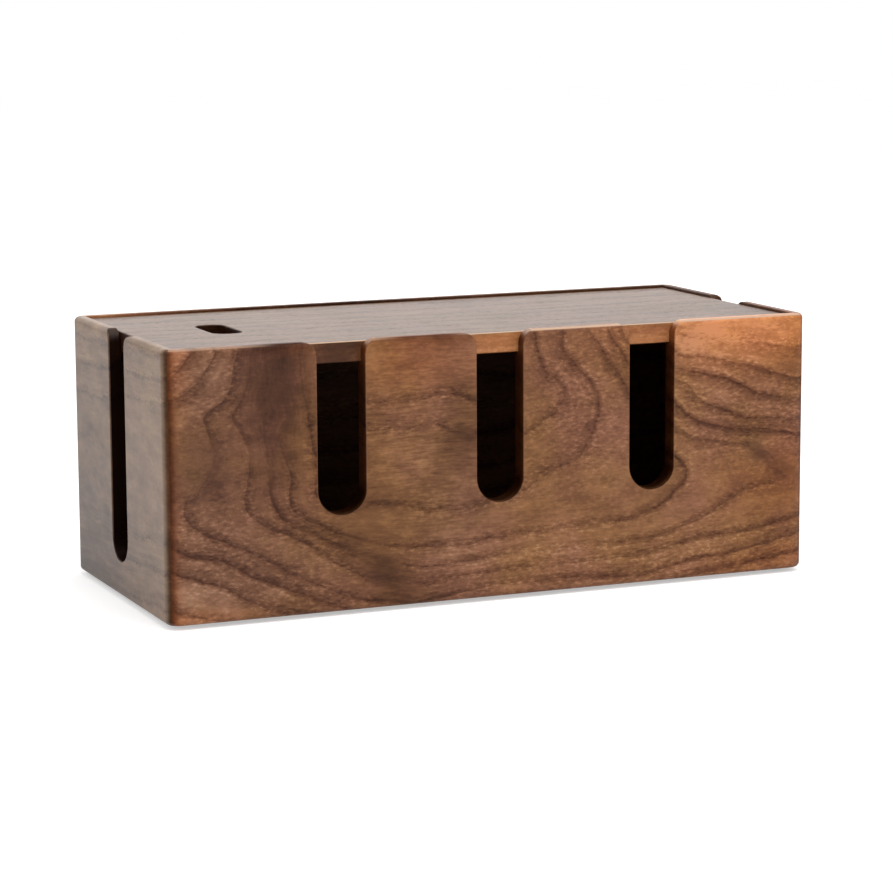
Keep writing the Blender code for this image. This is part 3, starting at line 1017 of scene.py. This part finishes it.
lid = {
    "edge": 0.8 * mm,
    "edgeSteps": 4,
    "holeWidth": 18 * mm,
    "holeLength": 44 * mm,
    "holeRadius": 8 * mm,
    "holeFromEnd": 62 * mm,
    "holeEase": 0.8 * mm,
    "holeEaseSteps": 6,
    "holeSteps": 10,
    "grid": 4 * mm,
    # in millimetres from the middle: the painted highlight on the rounded edges starts here, so that it stays
    # on the long edges
    "arrisHighlightFrom": 60,
    # and this close to an end an upright face is the lid's edge, not the wall of the hole
    "edgeReach": 20,
}


def makeLid():
    size = lidHigh - lidLow
    bm = standing(rectangle(size.x, size.y), lidLow.z, lidHigh.z)
    roundOff(bm, list(bm.edges), lid["edge"], lid["edgeSteps"])
    piece = newObject("lidBoard", bm)
    rings = []
    for height, flare in easedLayers(lidLow.z, lidHigh.z, lid["holeEase"], lid["holeEaseSteps"]):
        outline = roundedRectangle(lid["holeWidth"] + 2 * flare, lid["holeLength"] + 2 * flare,
                                   lid["holeRadius"] + flare, lid["holeSteps"])
        rings.append([(x + lid["holeFromEnd"] - outside["length"] / 2, y, height) for x, y in outline])
    combine(piece, makeTool("fingerHole", loft(rings)), "DIFFERENCE")
    settle(piece)
    # The lid's greyer, greener tint is painted sheen
    setMaterial(piece, walnut("walnut_lid", seed=13.3, brightness=-0.22, paintedSheenTint=(0.90, 1.09, 1.07),
                              lines=0.36, grain=0.5, variety=0.5, patchy=0.5))
    sliceAlong(piece, (lid["grid"], lid["grid"], 0))
    smoothShade(piece)
    storeFigure(piece, lidFigure, faceMaps["lid"])
    centres, normals = readFaces(piece)
    x, y, up, none = np.abs(centres[:, 0]), np.abs(centres[:, 1]), normals[:, 2], np.zeros(len(centres))
    inHole = (y < lid["holeLength"] / mm / 2 + 0.1) & (np.abs(up) < 0.5) & (x < halfLength - lid["edgeReach"])
    longEdge = (y > lid["arrisHighlightFrom"]) & (np.abs(normals[:, 1]) > np.abs(normals[:, 0]))
    # The lid's underside and the wall of its finger hole get painted shade, its long rounded edges a painted
    # highlight
    storeValues(piece, "FACE", {
        "endGrain": endGrain(normals, 0), "hidden": ((up < -0.5) | inHole) * paintedShading["inside"],
        "arris": smoothSteps(up, 0.3, 0.6) * (up < 0.99) * longEdge, "wall": none, "turning": none,
    })
    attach(piece, "lid")
    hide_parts("lid")
    print("lid", len(piece.data.polygons), "faces")


makeLid()


# The feet: stick-on rubber pads with a rounded lower rim, one under each corner

feet = {"steps": 40, "colour": (0.022, 0.021, 0.020)}


def makeFeet():
    nodes = [f"{d}_{s}_foot" for d in ("front", "back") for s in ("left", "right")]
    low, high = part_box(nodes[0])
    radius, height = (high.x - low.x) / 2, high.z - low.z
    # Reach and height, from the middle of the underside up
    profile = [(radius * 0.55, 0.0), (radius * 0.8, 0.06 * height), (radius - 0.35 * mm, 0.2 * height),
               (radius - 0.1 * mm, 0.34 * height), (radius, 0.5 * height), (radius, height - 0.1 * mm),
               (radius - 0.1 * mm, height)]
    turns = [2 * math.pi * k / feet["steps"] for k in range(feet["steps"])]
    rings = [[(reach * math.cos(turn), reach * math.sin(turn), z) for turn in turns] for reach, z in profile]
    foot = makeTool("footShape", loft(rings))
    rubber = plainMaterial("rubber", feet["colour"], 0.7, 0.2, 900, bump=0.2)
    # The tree replaces this small block
    piece = newObject("rubberFeet", standing(rectangle(mm, mm), 0, mm))
    otherLow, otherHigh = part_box(nodes[-1])
    spacing = (otherLow + otherHigh - low - high) / 2
    addTree(piece, footGridTree(), {"Foot": foot, "Spacing X": abs(spacing.x), "Spacing Y": abs(spacing.y),
                                    "Material": rubber})
    settle(piece)
    setMaterial(piece, rubber)
    smoothShade(piece, 40)
    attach(piece, "box")
    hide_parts(*nodes)
    print("feet", len(piece.data.polygons), "faces")


makeFeet()

# The base panel and the splines stay as the CAD has them, with their own finish
nodeLooks = {"base_panel": plainMaterial("plywood", (0.24, 0.13, 0.07), 0.6, 0.35, 140,
                                         stretch=(0.06, 1, 1), bump=0.2)}
splineWood = plainMaterial("beech", (0.55, 0.36, 0.21), 0.6, 0.15, 120, stretch=(1, 1, 0.1))
for node in ("front_left", "front_right", "back_left", "back_right"):
    nodeLooks[node + "_spline"] = splineWood
for node, material in nodeLooks.items():
    for slot in frame["nodes"][node].material_slots:
        slot.material = material
print("base and splines finished")

# The cutters have done their work
for tool in [o for o in scene.objects if o.hide_render and "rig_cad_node" not in o and o.type == "MESH"]:
    bpy.data.objects.remove(tool)


# Floor, light and camera

studio = {
    "floorColour": (0.80, 0.80, 0.80),
    "floorGlow": 0.45,
    "floorReach": 6,
    "ambient": 0.68,
    "lampTarget": (0, 0, 0.07),
    # name: power, width, height, azimuth, elevation, distance
    "lamps": {
        "overhead": (14.0, 1.1, 1.1, 10, 72, 1.6),
        "front": (6.0, 1.8, 1.2, 35, 35, 2.4),
        "behind": (14.8, 3.6, 0.8, 174, 15, 2.3),
        "left": (4.5, 1.2, 1.2, -125, 25, 2.2),
    },
}


def direction(azimuth, elevation):
    a, e = math.radians(azimuth), math.radians(elevation)
    return Vector((math.sin(a) * math.cos(e), -math.cos(a) * math.cos(e), math.sin(e)))


def seenRays(tree):
    # 1 for what is looked at, also in a gloss or through glass, and 0 for light that falls on something
    rays = addNode(tree, "ShaderNodeLightPath").outputs
    seen = mathNode("ADD", rays["Is Camera Ray"], rays["Is Glossy Ray"])
    return mathNode("ADD", seen, rays["Is Transmission Ray"], clamp=True)


def addFloor():
    bm = bmesh.new()
    bmesh.ops.create_grid(bm, x_segments=1, y_segments=1, size=studio["floorReach"])
    floor = newObject("floor", bm)
    material, tree, shader = newMaterial("paleFloor")
    fillInputs(shader, {"Base Color": (*studio["floorColour"], 1), "Roughness": 0.9,
                        "Specular IOR Level": 0.0, "Emission Color": (1, 1, 1, 1),
                        "Emission Strength": times(seenRays(tree), studio["floorGlow"])})
    setMaterial(floor, material)


def addWorld():
    world = bpy.data.worlds.new("studio")
    scene.world = world
    world.use_nodes = True
    tree = world.node_tree
    tree.nodes.clear()
    light, white = (addNode(tree, "ShaderNodeBackground", {"Color": (1, 1, 1, 1), "Strength": strength})
                    for strength in (studio["ambient"], 1.0))
    mixed = addNode(tree, "ShaderNodeMixShader", {0: seenRays(tree), 1: light.outputs[0],
                                                  2: white.outputs[0]})
    addNode(tree, "ShaderNodeOutputWorld", {"Surface": mixed.outputs[0]})


def addSoftbox(name, power, width, height, azimuth, elevation, distance):
    data = bpy.data.lights.new(name, "AREA")
    data.shape = "RECTANGLE"
    data.size, data.size_y = width, height
    data.energy = power
    lamp = addToScene(name, data)
    back = direction(azimuth, elevation)
    lamp.location = Vector(studio["lampTarget"]) + back * distance
    lamp.rotation_euler = back.to_track_quat("Z", "Y").to_euler()


def addCamera():
    # Placed by fitting the box's corners to the photograph
    shot = {"azimuth": -23.11, "elevation": 9.36, "roll": -0.306, "distance": 1.801, "lens": 120.9,
            "target": (0.0048, 0.0, 0.07615)}
    data = bpy.data.cameras.new("camera")
    data.lens, data.sensor_width = shot["lens"], 36
    camera = addToScene("camera", data)
    back = direction(shot["azimuth"], shot["elevation"])
    azimuth, roll = math.radians(shot["azimuth"]), math.radians(shot["roll"])
    level = Vector((math.cos(azimuth), math.sin(azimuth), 0))
    raised = back.cross(level)
    right = level * math.cos(roll) + raised * math.sin(roll)
    up = raised * math.cos(roll) - level * math.sin(roll)
    camera.matrix_world = Matrix((right, up, back)).transposed().to_4x4()
    camera.location = Vector(shot["target"]) + back * shot["distance"]
    data.clip_start, data.clip_end = 0.05, 50
    scene.camera = camera


addFloor()
addWorld()
for name, plan in studio["lamps"].items():
    addSoftbox(name, *plan)
addCamera()
scene.view_settings.view_transform = "Standard"
print("studio ready")
